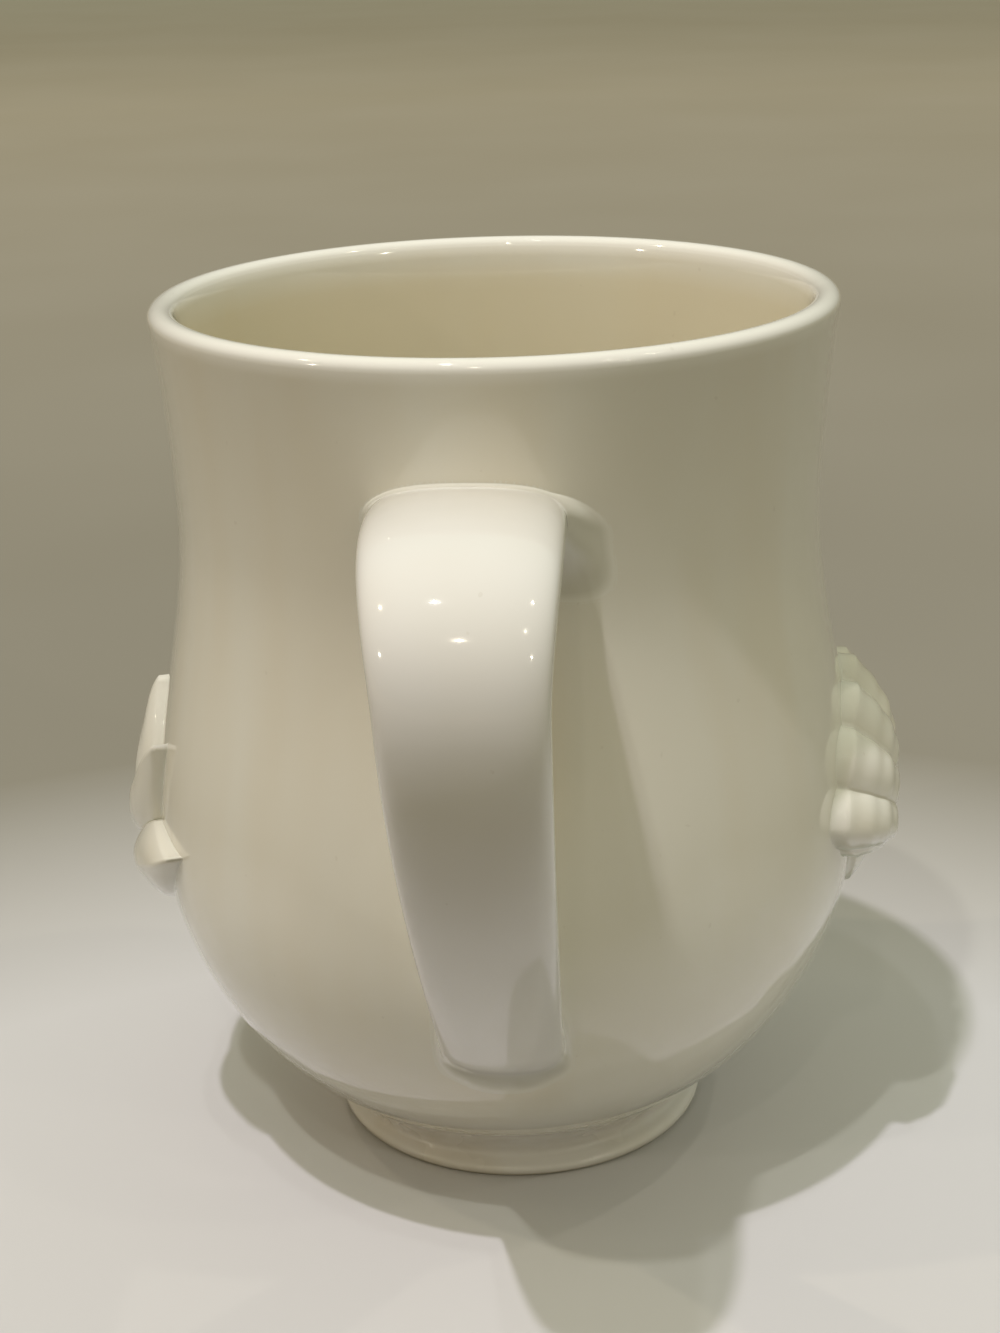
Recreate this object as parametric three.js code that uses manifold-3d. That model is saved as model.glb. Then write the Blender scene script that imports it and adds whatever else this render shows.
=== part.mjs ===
// Porcelain mug in millimetres, +Z up: a pear-shaped body on a flared foot ring, a wide
// ear-shaped strap handle luted on with slip, and two sprigged reliefs on the belly.
// The handle points to +X, the leaf spray to -Y and the scallop shell to +Y. The origin is on
// the table under the middle of the whole mug, so the cup's own axis stands a little to -X.

import * as THREE from 'three';
import { mergeVertices } from 'three/addons/utils/BufferGeometryUtils.js';
import Module from 'manifold-3d';

const wasm = await Module();
wasm.setup();

// The gap between any two pieces that would touch
const CLEARANCE = 0.3;

// Body: rim, waist and belly
const HEIGHT = 110.3;
const RIM_RADIUS = 42.0;
const LIP_RADIUS = 1.5;
const WAIST_HEIGHT = 84.0;
const WAIST_RADIUS = 40.1;
const BELLY_HEIGHT = 43.2;
const BELLY_RADIUS = 45.5;
const BELLY_DEPTH = 44.2;
const RIM_FLARE_POWER = 1.9;
const WALL = 3.2;
const BASE_THICKNESS = 4.4;
const INSIDE_FLOOR_RADIUS = 20.0;
const LIP_EASE = 1.0;
const SEAT_STEP = 0.8;
const FLOOR_CORNER = 0.4;
const FLOOR_DISH = 0.2;

// Foot ring
const FOOT_HEIGHT = 5.9;
const FOOT_RADIUS = 24.8;
const FOOT_NECK_RADIUS = 23.1;
const FOOT_WALL = 3.6;
const FOOT_RECESS = 4.6;
const FOOT_EDGE = 1.0;

// Strap handle, in the plane of its own side view
const HANDLE_REACH = 71.5;
const HANDLE_BELOW_RIM = 14.3;
const KNEE_BELOW_ARM = 16.5;
const HANDLE_LANDING = 26.2;
const HANDLE_THICKNESS = 7.0;
const HANDLE_LOW_THICKNESS = 5.4;
const HANDLE_WIDTH = 23.0;
const HANDLE_KNEE_WIDTH = 17.4;
const HANDLE_LOW_WIDTH = 13.8;
const HANDLE_ROUNDNESS = 2.9;
const ARM_RISE = 3.0;
const ARM_RUN = 19.0;
const SHOULDER = 13.0;
const KNEE_DROP = 15.5;
const HEEL_RUN = 8.5;
const HEEL_RISE = 12.1;
const HEEL_STANDOFF = 3.1;
const HEEL_HEIGHT = 6.2;
const ROOT_DEPTH = 3.0;
const TOP_FILLET = 3.0;
const LOW_FILLET = 1.8;

// Slip seams between the handle's two ends and the wall
const SEAM_THICKNESS = 0.6;
const SEAM_MARGIN = 0.7;
const LOW_SEAM_SLANT = 1.1;
const LOW_SEAM_LIFT = 0.9;

// Leaf spray: five leaves that fan out of one base, with the outer ones turned up
const LEAF_BASE_HEIGHT = 38.0;
const LEAF_LENGTH = 22.0;
const LEAF_SIDE_LENGTH = 24.0;
const LEAF_STALK = 6.0;
const LEAF_VALLEY = 0.42;
const LEAF_POINT = 0.8;
const LEAF_PROUD = 4.3;
const LEAF_TURN_UP = 7.0;
const LEAF_RIB = 0.9;
const LEAF_DOME = 2.4;

// Scallop shell: a ribbed fan above a small hinge knob
const SHELL_HINGE_HEIGHT = 39.5;
const SHELL_LENGTH = 21.5;
const SHELL_KNOB = 8.0;
const SHELL_PROUD = 6.0;
const SHELL_KNOB_PROUD = 2.2;
const SHELL_RIBS = 16;
const SHELL_RIB = 0.45;
const SHELL_SCALLOP = 0.8;
const SHELL_SHOULDER = 0.15;
const SHELL_SHOULDER_EASE = 0.5;
const RELIEF_EDGE = 0.6;

// Fineness of the facets
const ROUND_SEGMENTS = 60;
const RELIEF_SECTORS = 64;

// The cup's axis stands where the whole mug is centred on the origin
const AXIS_X = (BELLY_RADIUS - HANDLE_REACH) / 2;

const HANDLE_TOP = HEIGHT - HANDLE_BELOW_RIM;
const HANDLE_CLEAR = SEAM_THICKNESS + 2 * CLEARANCE;

function blend(t) {
  const u = THREE.MathUtils.clamp(t, 0, 1);
  return u * u * (3 - 2 * u);
}

// Outer radius of the wall: a quarter ellipse below the belly, an S-curve from the belly to
// the waist, and a power curve that flares from the waist to the rim
function wallRadius(z) {
  if (z < BELLY_HEIGHT) {
    const drop = (BELLY_HEIGHT - z) / BELLY_DEPTH;
    return BELLY_RADIUS * Math.sqrt(Math.max(0, 1 - drop * drop));
  }
  if (z < WAIST_HEIGHT) {
    const t = (z - BELLY_HEIGHT) / (WAIST_HEIGHT - BELLY_HEIGHT);
    return BELLY_RADIUS + (WAIST_RADIUS - BELLY_RADIUS) * blend(t);
  }
  const t = (z - WAIST_HEIGHT) / (HEIGHT - WAIST_HEIGHT);
  return WAIST_RADIUS + (RIM_RADIUS - WAIST_RADIUS) * Math.pow(t, RIM_FLARE_POWER);
}

function wallSlope(z) {
  const step = 0.01;
  return (wallRadius(z + step) - wallRadius(z - step)) / (2 * step);
}

// A point of the wall's side view, moved off the wall along its normal
function wallOffset(z, proud) {
  const slope = wallSlope(z);
  const length = Math.hypot(1, slope);
  return new THREE.Vector2(wallRadius(z) + proud / length, z - (proud * slope) / length);
}

function wallPoint(angle, z, proud) {
  const p = wallOffset(z, proud);
  return new THREE.Vector3(p.x * Math.cos(angle), p.x * Math.sin(angle), p.y);
}

// Heights from low to high, closer together towards the low end where the wall turns under
function heights(low, high, count) {
  return Array.from({ length: count }, (_, i) => low + (high - low) * Math.pow(i / (count - 1), 1.25));
}

function arc(centreX, centreY, radius, from, to, steps) {
  const points = [];
  for (let i = 0; i <= steps; i += 1) {
    const a = from + ((to - from) * i) / steps;
    points.push(new THREE.Vector2(centreX + radius * Math.cos(a), centreY + radius * Math.sin(a)));
  }
  return points;
}

// A profile of radius and height turned about the cup's axis
function turned(profile) {
  const geometry = new THREE.LatheGeometry(profile, ROUND_SEGMENTS);
  geometry.rotateX(Math.PI / 2);
  return geometry;
}

function toSolid(geometry) {
  const bare = geometry.clone();
  bare.deleteAttribute('normal');
  bare.deleteAttribute('uv');
  const merged = mergeVertices(bare, 1e-4);
  const index = merged.index.array;
  const triangles = [];
  for (let i = 0; i < index.length; i += 3) {
    const [a, b, c] = [index[i], index[i + 1], index[i + 2]];
    if (a !== b && b !== c && c !== a) {
      triangles.push(a, b, c);
    }
  }
  return new wasm.Manifold(new wasm.Mesh({
    numProp: 3,
    vertProperties: Float32Array.from(merged.attributes.position.array),
    triVerts: Uint32Array.from(triangles),
  }));
}

function toGeometry(solid) {
  const mesh = solid.getMesh();
  const geometry = new THREE.BufferGeometry();
  geometry.setAttribute('position', new THREE.Float32BufferAttribute(mesh.vertProperties, 3));
  geometry.setIndex(Array.from(mesh.triVerts));
  geometry.computeVertexNormals();
  return geometry;
}

// A closed body from rings of equal length, with a fan over the first and the last ring. The
// rings run anticlockwise as seen from the last one.
function closedRings(rings, first, last) {
  const count = rings[0].length;
  const points = [first, ...rings.flat(), last];
  const faces = [];
  for (let j = 0; j < count; j += 1) {
    const next = (j + 1) % count;
    faces.push(0, 1 + next, 1 + j);
    for (let i = 0; i + 1 < rings.length; i += 1) {
      const a = 1 + i * count;
      const b = a + count;
      faces.push(a + j, a + next, b + next);
      faces.push(a + j, b + next, b + j);
    }
    const top = 1 + (rings.length - 1) * count;
    faces.push(top + j, top + next, points.length - 1);
  }
  const geometry = new THREE.BufferGeometry().setFromPoints(points);
  geometry.setIndex(faces);
  geometry.computeVertexNormals();
  return geometry;
}

function cupBody() {
  const boss = FOOT_NECK_RADIUS - FOOT_WALL - CLEARANCE;
  const seat = FOOT_HEIGHT + CLEARANCE;
  const wallStart = seat + SEAT_STEP;
  const wallEnd = HEIGHT - LIP_RADIUS - LIP_EASE;
  const lipHeight = HEIGHT - LIP_RADIUS;
  const lipCentre = RIM_RADIUS - LIP_RADIUS;
  const insideFloor = FOOT_RECESS + BASE_THICKNESS;
  const outside = heights(wallStart, wallEnd, 17).map((z) => wallOffset(z, 0));
  const inside = heights(wallStart, wallEnd, 15).map((z) => wallOffset(z, -WALL));
  const profile = [
    new THREE.Vector2(0, FOOT_RECESS),
    new THREE.Vector2(boss, FOOT_RECESS),
    new THREE.Vector2(boss, seat),
    new THREE.Vector2(FOOT_NECK_RADIUS, seat),
    ...outside,
    ...arc(lipCentre, lipHeight, LIP_RADIUS, 0, Math.PI, 6),
    ...inside.reverse().filter((p) => p.y > insideFloor + FLOOR_CORNER),
    new THREE.Vector2(INSIDE_FLOOR_RADIUS, insideFloor),
    new THREE.Vector2(0, insideFloor - FLOOR_DISH),
  ];
  return turned(profile);
}

// The ring flares like a trumpet from its neck to the table and has a rounded standing edge
function footRing() {
  const inner = FOOT_NECK_RADIUS - FOOT_WALL;
  const flare = FOOT_RADIUS - FOOT_NECK_RADIUS;
  const outside = [];
  for (let i = 0; i <= 4; i += 1) {
    const t = i / 4;
    const z = FOOT_EDGE + (FOOT_HEIGHT - FOOT_EDGE) * t;
    outside.push(new THREE.Vector2(FOOT_NECK_RADIUS + flare * (1 - t) * (1 - t), z));
  }
  const start = new THREE.Vector2(inner + FOOT_EDGE, 0);
  const profile = [
    start,
    ...arc(FOOT_RADIUS - FOOT_EDGE, FOOT_EDGE, FOOT_EDGE, -Math.PI / 2, -Math.PI / 8, 3),
    ...outside,
    new THREE.Vector2(inner, FOOT_HEIGHT),
    new THREE.Vector2(inner, FOOT_EDGE),
    start.clone(),
  ];
  return turned(profile);
}

// Side view of the strap's middle line: a level arm, a round shoulder down to the knee, and a
// long heel that slopes in and curls onto the belly
function strapLine() {
  const half = HANDLE_THICKNESS / 2;
  const start = new THREE.Vector3(wallRadius(HANDLE_TOP - half) - ROOT_DEPTH, 0, HANDLE_TOP - half);
  const knee = new THREE.Vector3(HANDLE_REACH - half, 0, HANDLE_TOP - KNEE_BELOW_ARM);
  const landing = new THREE.Vector3(wallRadius(HANDLE_LANDING), 0, HANDLE_LANDING);
  const heel = new THREE.Vector3(landing.x + HEEL_STANDOFF, 0, HANDLE_LANDING + HEEL_HEIGHT);
  const sole = new THREE.Vector3(landing.x - ROOT_DEPTH, 0, HANDLE_LANDING + HANDLE_LOW_THICKNESS / 4);
  const line = new THREE.CurvePath();
  line.add(new THREE.CubicBezierCurve3(
    start,
    new THREE.Vector3(start.x + ARM_RUN, 0, start.z + ARM_RISE),
    new THREE.Vector3(knee.x, 0, knee.z + SHOULDER),
    knee,
  ));
  line.add(new THREE.CubicBezierCurve3(
    knee,
    new THREE.Vector3(knee.x, 0, knee.z - KNEE_DROP),
    new THREE.Vector3(heel.x + HEEL_RUN, 0, heel.z + HEEL_RISE),
    heel,
  ));
  line.add(new THREE.QuadraticBezierCurve3(
    heel,
    new THREE.Vector3(heel.x - HEEL_RUN / 3, 0, heel.z - HEEL_RISE / 3),
    sole,
  ));
  return line;
}

// How far a point moves off the strap's middle line near its seam, as a quarter-round fillet
function filletGrowth(point, fillet) {
  const distance = Math.hypot(point.x, point.y) - wallRadius(point.z) - HANDLE_CLEAR;
  const t = THREE.MathUtils.clamp(1 - distance / fillet, 0, 1);
  return fillet * (1 - Math.sqrt(1 - t * t));
}

// The strap: a squarish oval section, wide across and thin in the side view, carried along the
// middle line, then cut to land on the wall's slip seams. Its stations crowd towards the two
// ends, where the fillets are.
function strapHandle() {
  const line = strapLine();
  const lengths = line.getCurveLengths();
  const total = lengths[2];
  const kneeAt = lengths[0] / total;
  const stations = 42;
  const around = 24;
  const crowding = 0.75;
  const rings = [];
  for (let i = 0; i <= stations; i += 1) {
    const t = i / stations;
    const u = t - (crowding * Math.sin(2 * Math.PI * t)) / (2 * Math.PI);
    const centre = line.getPointAt(u);
    const tangent = line.getTangentAt(u);
    const outward = new THREE.Vector3(-tangent.z, 0, tangent.x);
    const before = Math.min(1, u / kneeAt);
    const after = Math.max(0, (u - kneeAt) / (1 - kneeAt));
    const width = HANDLE_WIDTH + (HANDLE_KNEE_WIDTH - HANDLE_WIDTH) * blend(before * before)
      + (HANDLE_LOW_WIDTH - HANDLE_KNEE_WIDTH) * after;
    const thickness = HANDLE_THICKNESS + (HANDLE_LOW_THICKNESS - HANDLE_THICKNESS) * after;
    const fillet = u < kneeAt ? TOP_FILLET : LOW_FILLET;
    const ring = [];
    for (let j = 0; j < around; j += 1) {
      const a = (2 * Math.PI * j) / around;
      const power = 2 / HANDLE_ROUNDNESS;
      const across = Math.sign(Math.cos(a)) * Math.pow(Math.abs(Math.cos(a)), power);
      const out = Math.sign(Math.sin(a)) * Math.pow(Math.abs(Math.sin(a)), power);
      const side = new THREE.Vector3(0, (across * width) / 2, 0);
      const point = centre.clone().add(side).addScaledVector(outward, (out * thickness) / 2);
      const growth = filletGrowth(point, fillet);
      point.add(new THREE.Vector3(0, Math.cos(a) * growth, 0));
      point.addScaledVector(outward, Math.sin(a) * growth);
      ring.push(point);
    }
    rings.push(ring);
  }
  const strap = toSolid(closedRings(rings, line.getPointAt(0), line.getPointAt(1)));
  return toGeometry(strap.subtract(toSolid(wallCutter())));
}

// The cup's outside, grown by a seam with its clearances, as a full body that cuts the strap
function wallCutter() {
  const outside = heights(FOOT_HEIGHT, HEIGHT - LIP_RADIUS, 26).map((z) => wallOffset(z, HANDLE_CLEAR));
  const above = HEIGHT + HANDLE_THICKNESS;
  return turned([
    new THREE.Vector2(0, outside[0].y),
    ...outside,
    new THREE.Vector2(outside[outside.length - 1].x, above),
    new THREE.Vector2(0, above),
  ]);
}

// A piece that lies on the wall. place(s, a) gives its shape in polar form, with s from 0 at
// its middle to 1 at its outline: how far across and up the point lies, and how proud it is.
function onWall(angle, height, sectors, frontRings, backRings, place) {
  const locate = (s, j, flat) => {
    const p = place(s, (2 * Math.PI * j) / sectors);
    const z = height + p.up;
    const turn = angle + p.across / wallRadius(height);
    return wallPoint(turn, z, CLEARANCE + (flat ? 0 : p.proud));
  };
  const rings = [];
  for (let i = 1; i <= backRings; i += 1) {
    rings.push(Array.from({ length: sectors }, (_, j) => locate(i / backRings, j, true)));
  }
  for (let i = frontRings; i >= 1; i -= 1) {
    rings.push(Array.from({ length: sectors }, (_, j) => locate(i / frontRings, j, false)));
  }
  return closedRings(rings, locate(0, 0, true), locate(0, 0, false));
}

// A slip seam is a thin pad with a rounded edge, a margin larger than the strap's end on it
function slipSeam(height, halfWidth, halfHeight) {
  return onWall(0, height, 32, 4, 3, (s, a) => {
    const power = 2 / HANDLE_ROUNDNESS;
    const across = Math.sign(Math.cos(a)) * Math.pow(Math.abs(Math.cos(a)), power);
    const up = Math.sign(Math.sin(a)) * Math.pow(Math.abs(Math.sin(a)), power);
    return {
      across: across * s * (halfWidth + SEAM_MARGIN),
      up: up * s * (halfHeight + SEAM_MARGIN),
      proud: SEAM_THICKNESS * (s < 1 ? 1 : 0.5),
    };
  });
}

function upperSeam() {
  const half = HANDLE_THICKNESS / 2;
  return slipSeam(HANDLE_TOP - half, HANDLE_WIDTH / 2 + TOP_FILLET, half + TOP_FILLET);
}

// The strap's lower end meets the wall at a slant, so its seam is longer than the strap is thick
function lowerSeam() {
  const half = HANDLE_LOW_THICKNESS * LOW_SEAM_SLANT;
  return slipSeam(HANDLE_LANDING + half * LOW_SEAM_LIFT, HANDLE_LOW_WIDTH / 2 + LOW_FILLET, half + LOW_FILLET);
}

// Five pointed leaves at eighths of a turn, with a rounded stalk below. Each leaf is crested
// along its own midrib, and the spray bends up towards its two outer tips.
function leafSpray() {
  const spacing = Math.PI / 4;
  return onWall(-Math.PI / 2, LEAF_BASE_HEIGHT, RELIEF_SECTORS, 8, 4, (s, a) => {
    const nearest = Math.round(a / spacing);
    const off = Math.abs(a - nearest * spacing) / (spacing / 2);
    const upper = nearest % 8 <= 4;
    const long = nearest % 4 === 0 ? LEAF_SIDE_LENGTH : LEAF_LENGTH;
    const leaf = upper ? long * (1 - LEAF_VALLEY * Math.pow(off, LEAF_POINT)) : 0;
    const reach = Math.max(leaf, LEAF_STALK);
    const across = Math.cos(a) * s * reach;
    const turnUp = LEAF_TURN_UP * Math.pow(across / LEAF_SIDE_LENGTH, 2);
    const dome = Math.pow(1 - Math.pow(s, LEAF_DOME), 0.8);
    const crest = upper ? LEAF_RIB * (1 - off) * Math.sin(Math.PI * s) : 0;
    const body = (LEAF_PROUD - RELIEF_EDGE - LEAF_RIB) * dome;
    return { across, up: Math.sin(a) * s * reach + turnUp, proud: RELIEF_EDGE + body + crest };
  });
}

// The fan swells between the hinge and its scalloped edge, with ribs that deepen outwards.
// Below the hinge line a low knob closes the shell.
function scallopShell() {
  return onWall(Math.PI / 2, SHELL_HINGE_HEIGHT, RELIEF_SECTORS, 9, 4, (s, a) => {
    const fan = blend((Math.sin(a) + SHELL_SHOULDER) / SHELL_SHOULDER_EASE);
    const rib = Math.cos(SHELL_RIBS * a);
    const reach = SHELL_KNOB + (SHELL_LENGTH + SHELL_SCALLOP * rib - SHELL_KNOB) * fan;
    const swell = Math.sin(Math.PI * Math.pow(0.06 + 0.9 * s, 1.15));
    const fanProud = (SHELL_PROUD - RELIEF_EDGE - SHELL_RIB) * swell + SHELL_RIB * rib * s;
    const knobProud = (SHELL_KNOB_PROUD - RELIEF_EDGE) * Math.sin(Math.PI * s);
    const proud = RELIEF_EDGE + Math.max(0, fan * fanProud + (1 - fan) * knobProud);
    return { across: Math.cos(a) * s * reach, up: Math.sin(a) * s * reach, proud };
  });
}

function porcelain(colour, roughness) {
  return new THREE.MeshStandardMaterial({ color: colour, roughness, metalness: 0 });
}

const mug = new THREE.Group();
mug.position.x = AXIS_X;

function addPiece(name, geometry, material) {
  const mesh = new THREE.Mesh(geometry, material);
  mesh.name = name;
  mug.add(mesh);
}

addPiece('cup_body', cupBody(), porcelain(0xe9e4d6, 0.12));
addPiece('foot_ring', footRing(), porcelain(0xe4decf, 0.3));
addPiece('strap_handle', strapHandle(), porcelain(0xece8db, 0.1));
addPiece('upper_slip_seam', upperSeam(), porcelain(0xe7e2d4, 0.15));
addPiece('lower_slip_seam', lowerSeam(), porcelain(0xe7e2d4, 0.15));
addPiece('leaf_spray_relief', leafSpray(), porcelain(0xedeadf, 0.1));
addPiece('scallop_shell_relief', scallopShell(), porcelain(0xedeadf, 0.1));

const root = new THREE.Group();
root.add(mug);
root.updateMatrixWorld(true);

export default root;
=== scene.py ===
# %% [markdown]
# # A glazed porcelain mug
#
# A porcelain mug is cast or thrown as a body, and its foot ring, handle and reliefs are luted on
# with slip before it is glazed and fired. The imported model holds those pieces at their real
# size. This notebook loads them as a fixed frame and lays a finer, glazed surface over each one.
# Lengths are written in millimetres, as a potter would, and turned into metres at the last step.

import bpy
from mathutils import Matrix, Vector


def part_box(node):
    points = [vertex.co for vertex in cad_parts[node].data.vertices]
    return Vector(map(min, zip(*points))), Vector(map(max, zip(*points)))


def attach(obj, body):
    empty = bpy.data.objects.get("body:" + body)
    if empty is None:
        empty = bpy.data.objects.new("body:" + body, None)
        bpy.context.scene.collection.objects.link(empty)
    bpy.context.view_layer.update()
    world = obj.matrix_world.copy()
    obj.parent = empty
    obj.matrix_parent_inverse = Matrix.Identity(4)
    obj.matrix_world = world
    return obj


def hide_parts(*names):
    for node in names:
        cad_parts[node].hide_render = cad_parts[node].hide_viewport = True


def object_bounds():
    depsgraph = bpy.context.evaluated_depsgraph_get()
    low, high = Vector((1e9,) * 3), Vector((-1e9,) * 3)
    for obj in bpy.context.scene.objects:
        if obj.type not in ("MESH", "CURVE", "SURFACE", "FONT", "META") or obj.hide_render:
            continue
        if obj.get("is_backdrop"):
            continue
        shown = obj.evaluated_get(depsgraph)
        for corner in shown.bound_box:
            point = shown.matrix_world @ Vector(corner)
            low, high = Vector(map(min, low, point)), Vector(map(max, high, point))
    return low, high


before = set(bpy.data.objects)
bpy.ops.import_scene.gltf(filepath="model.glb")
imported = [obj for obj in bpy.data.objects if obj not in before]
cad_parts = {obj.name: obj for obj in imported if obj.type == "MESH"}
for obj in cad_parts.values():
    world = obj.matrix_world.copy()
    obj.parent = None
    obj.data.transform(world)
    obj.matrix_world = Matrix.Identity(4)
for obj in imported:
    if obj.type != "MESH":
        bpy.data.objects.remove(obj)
cad_low, cad_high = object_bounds()
print(len(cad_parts), "packed pieces")

# %% Tools and units
import math

import bpy
import numpy as np
from mathutils import Matrix, Vector

MM = 0.001
scene = bpy.context.scene

# %% [markdown]
# The cup is a surface of revolution, so everything on it is placed from one axis. The axis and
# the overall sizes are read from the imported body's box. The other sizes are those of the part.

# %% The cup's axis and main sizes
body_low, body_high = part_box("cup_body")
AXIS_X = (body_low[0] + body_high[0]) / 2 / MM
BELLY_RADIUS = (body_high[0] - body_low[0]) / 2 / MM
HEIGHT = body_high[2] / MM
RECESS = body_low[2] / MM

RIM_RADIUS = 42.0
LIP_RADIUS = 1.5
WAIST_HEIGHT = 84.0
WAIST_RADIUS = 40.1
BELLY_HEIGHT = 43.2
BELLY_DEPTH = 44.2
RIM_FLARE_POWER = 1.9
WALL = 3.2
FLOOR_THICK = 4.4
FLOOR_HEIGHT = RECESS + FLOOR_THICK

print("axis at", round(AXIS_X, 2), "mm; belly radius", round(BELLY_RADIUS, 2), "height", round(HEIGHT, 2))

# %% [markdown]
# The camera stands at the photograph's viewing angle: a little above the rim, looking down past
# the handle. Its place is given from the cup's axis, and its turn from three angles. A camera
# looks along its own -Z, so the matrix columns are right, up and backwards.

# %% The camera
CAMERA_DISTANCE = 252.7
CAMERA_HEIGHT = 155.5
CAMERA_AZIMUTH = math.radians(3.2)
PAN, PITCH, ROLL = (math.radians(a) for a in (-0.11, 20.47, -1.63))
FOCAL_PIXELS, FRAME_HEIGHT, SENSOR = 2078.0, 1333.0, 36.0

heading = PAN - CAMERA_AZIMUTH
level_forward = Vector((-math.cos(heading), math.sin(heading), 0))
level_right = Vector((level_forward.y, -level_forward.x, 0))
forward = math.cos(PITCH) * level_forward - math.sin(PITCH) * Vector((0, 0, 1))
level_up = math.sin(PITCH) * level_forward + math.cos(PITCH) * Vector((0, 0, 1))
right = math.cos(ROLL) * level_right + math.sin(ROLL) * level_up
up = -math.sin(ROLL) * level_right + math.cos(ROLL) * level_up

camera = bpy.data.objects.new("photo_camera", bpy.data.cameras.new("photo_camera"))
scene.collection.objects.link(camera)
camera.data.sensor_width = SENSOR
camera.data.lens = FOCAL_PIXELS / FRAME_HEIGHT * SENSOR
place = Vector((AXIS_X + CAMERA_DISTANCE * math.cos(CAMERA_AZIMUTH),
                CAMERA_DISTANCE * math.sin(CAMERA_AZIMUTH), CAMERA_HEIGHT)) * MM
turn = Matrix((right, up, -forward)).transposed()
camera.matrix_world = Matrix.Translation(place) @ turn.to_4x4()
scene.camera = camera
print("lens", round(camera.data.lens, 1), "mm; right", tuple(round(v, 3) for v in right))

# %% [markdown]
# Every new piece is a grid of points: rings that run round the piece, one after another along
# it. One helper turns such a grid into a closed mesh. Each row of quads joins two rings, and a
# single point closes each end, so the skin has no holes and all its faces look outwards.

# %% From rings of points to a closed mesh
def skin(name, rings, first, last, tone_and_painted_light=None):
    """Rings (n, m, 3) in millimetres, which run anticlockwise seen from the last one.

    Quad (i, j) joins ring i, points j and j + 1, to ring i + 1. The fans join the end points to
    the first and last rings. The last argument is one number for each ring point that the glaze
    turns into colour: 1 is its full deep colour (painted shade on the handle, painted warm light
    in the cup, a darker tone on the reliefs), 0 the plain colour, and -1 a paler one, a painted
    highlight on the lip."""
    n, m, _ = rings.shape
    points = np.concatenate([[first], rings.reshape(-1, 3), [last]]) * MM
    index = 1 + np.arange(n * m).reshape(n, m)
    after = np.roll(index, -1, axis=1)
    quads = np.stack([index[:-1], after[:-1], after[1:], index[1:]], axis=-1).reshape(-1, 4)
    start_fan = np.stack([np.zeros(m, int), after[0], index[0]], axis=-1)
    end_fan = np.stack([index[-1], after[-1], np.full(m, n * m + 1)], axis=-1)
    mesh = bpy.data.meshes.new(name)
    mesh.from_pydata(points.tolist(), [], quads.tolist() + start_fan.tolist() + end_fan.tolist())
    mesh.polygons.foreach_set("use_smooth", np.ones(len(mesh.polygons), bool))
    piece = bpy.data.objects.new(name, mesh)
    scene.collection.objects.link(piece)
    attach(piece, "root")
    note(piece, "tone_and_painted_light", np.zeros((n, m)) if tone_and_painted_light is None else tone_and_painted_light, 0)
    print(name, "has", len(mesh.polygons), "faces")
    return piece


def note(piece, name, values, at_ends):
    """Keeps one number for each ring point as a mesh attribute, with at_ends for the end points."""
    numbers = np.concatenate([[at_ends], values.ravel(), [at_ends]])
    piece.data.attributes.new(name, "FLOAT", "POINT").data.foreach_set("value", numbers)

# %% [markdown]
# The wall's side view is three curves end to end: a quarter ellipse under the belly, an S-curve
# from the belly in to the waist, and a power curve that flares out to the rim. The reliefs and
# the handle's ends are placed on this same curve, so the function takes whole arrays of heights.

# %% The wall's side view
TINY = 0.01


def smooth_step(t):
    """3t^2 - 2t^3 for t held between 0 and 1: a rise that starts and ends level."""
    t = np.clip(t, 0, 1)
    return t * t * (3 - 2 * t)


def wall_radius(z):
    """Outer radius at height z, from the three curves of the wall."""
    z = np.asarray(z, float)
    low = BELLY_RADIUS * np.sqrt(np.clip(1 - ((BELLY_HEIGHT - z) / BELLY_DEPTH) ** 2, 0, 1))
    middle = BELLY_RADIUS + (WAIST_RADIUS - BELLY_RADIUS) * smooth_step(
        (z - BELLY_HEIGHT) / (WAIST_HEIGHT - BELLY_HEIGHT))
    rise = np.clip((z - WAIST_HEIGHT) / (HEIGHT - WAIST_HEIGHT), 0, 2)
    top = WAIST_RADIUS + (RIM_RADIUS - WAIST_RADIUS) * rise ** RIM_FLARE_POWER
    return np.where(z < BELLY_HEIGHT, low, np.where(z < WAIST_HEIGHT, middle, top))


def wall_slope(z):
    """Change of radius per millimetre of height, from two points TINY either side of z."""
    return (wall_radius(z + TINY) - wall_radius(z - TINY)) / (2 * TINY)


def off_wall(z, proud):
    """The side-view point (radius, height) that lies proud of the wall along its normal."""
    slope = wall_slope(z)
    length = np.hypot(1, slope)
    return wall_radius(z) + proud / length, z - proud * slope / length


def wall_point(angle, z, proud):
    """off_wall turned round the axis by angle, as an array of (x, y, z)."""
    radius, height = off_wall(z, proud)
    return np.stack([AXIS_X + radius * np.cos(angle), radius * np.sin(angle), height], axis=-1)


print("radius at the rim, waist and belly", *(round(float(wall_radius(z)), 1)
                                              for z in (HEIGHT, WAIST_HEIGHT, BELLY_HEIGHT)), "mm")

# %% [markdown]
# The body and the foot ring are turned: a profile, carried round the axis. A Screw modifier
# would do the same. Worked out as arrays, the rings may also drift off the axis one by one, as
# those of a ring luted on by hand do.

# %% Profiles and turning
def turned(name, radius, height, aside=0.0, tone_and_painted_light=0.0, segments=360):
    """A profile from axis to axis, turned about the cup's axis.

    aside moves each ring of the profile off the axis towards +Y. The next argument is each ring's
    number for the glaze colour, which paints warm light and a highlight on the cup."""
    angle = np.linspace(0, 2 * np.pi, segments, endpoint=False)
    inner = slice(1, -1)
    aside = np.broadcast_to(aside, radius.shape)
    r, z, shift = radius[inner, None], height[inner, None], aside[inner, None]
    rings = np.stack([AXIS_X + r * np.cos(angle), shift + r * np.sin(angle), z + 0 * angle], axis=-1)
    ends = [np.array([AXIS_X, aside[i], height[i]]) for i in (0, -1)]
    tone_values_and_painted_light = np.broadcast_to(np.broadcast_to(tone_and_painted_light, radius.shape)[inner, None], rings.shape[:2])
    return skin(name, rings, *ends, tone_values_and_painted_light)


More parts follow.
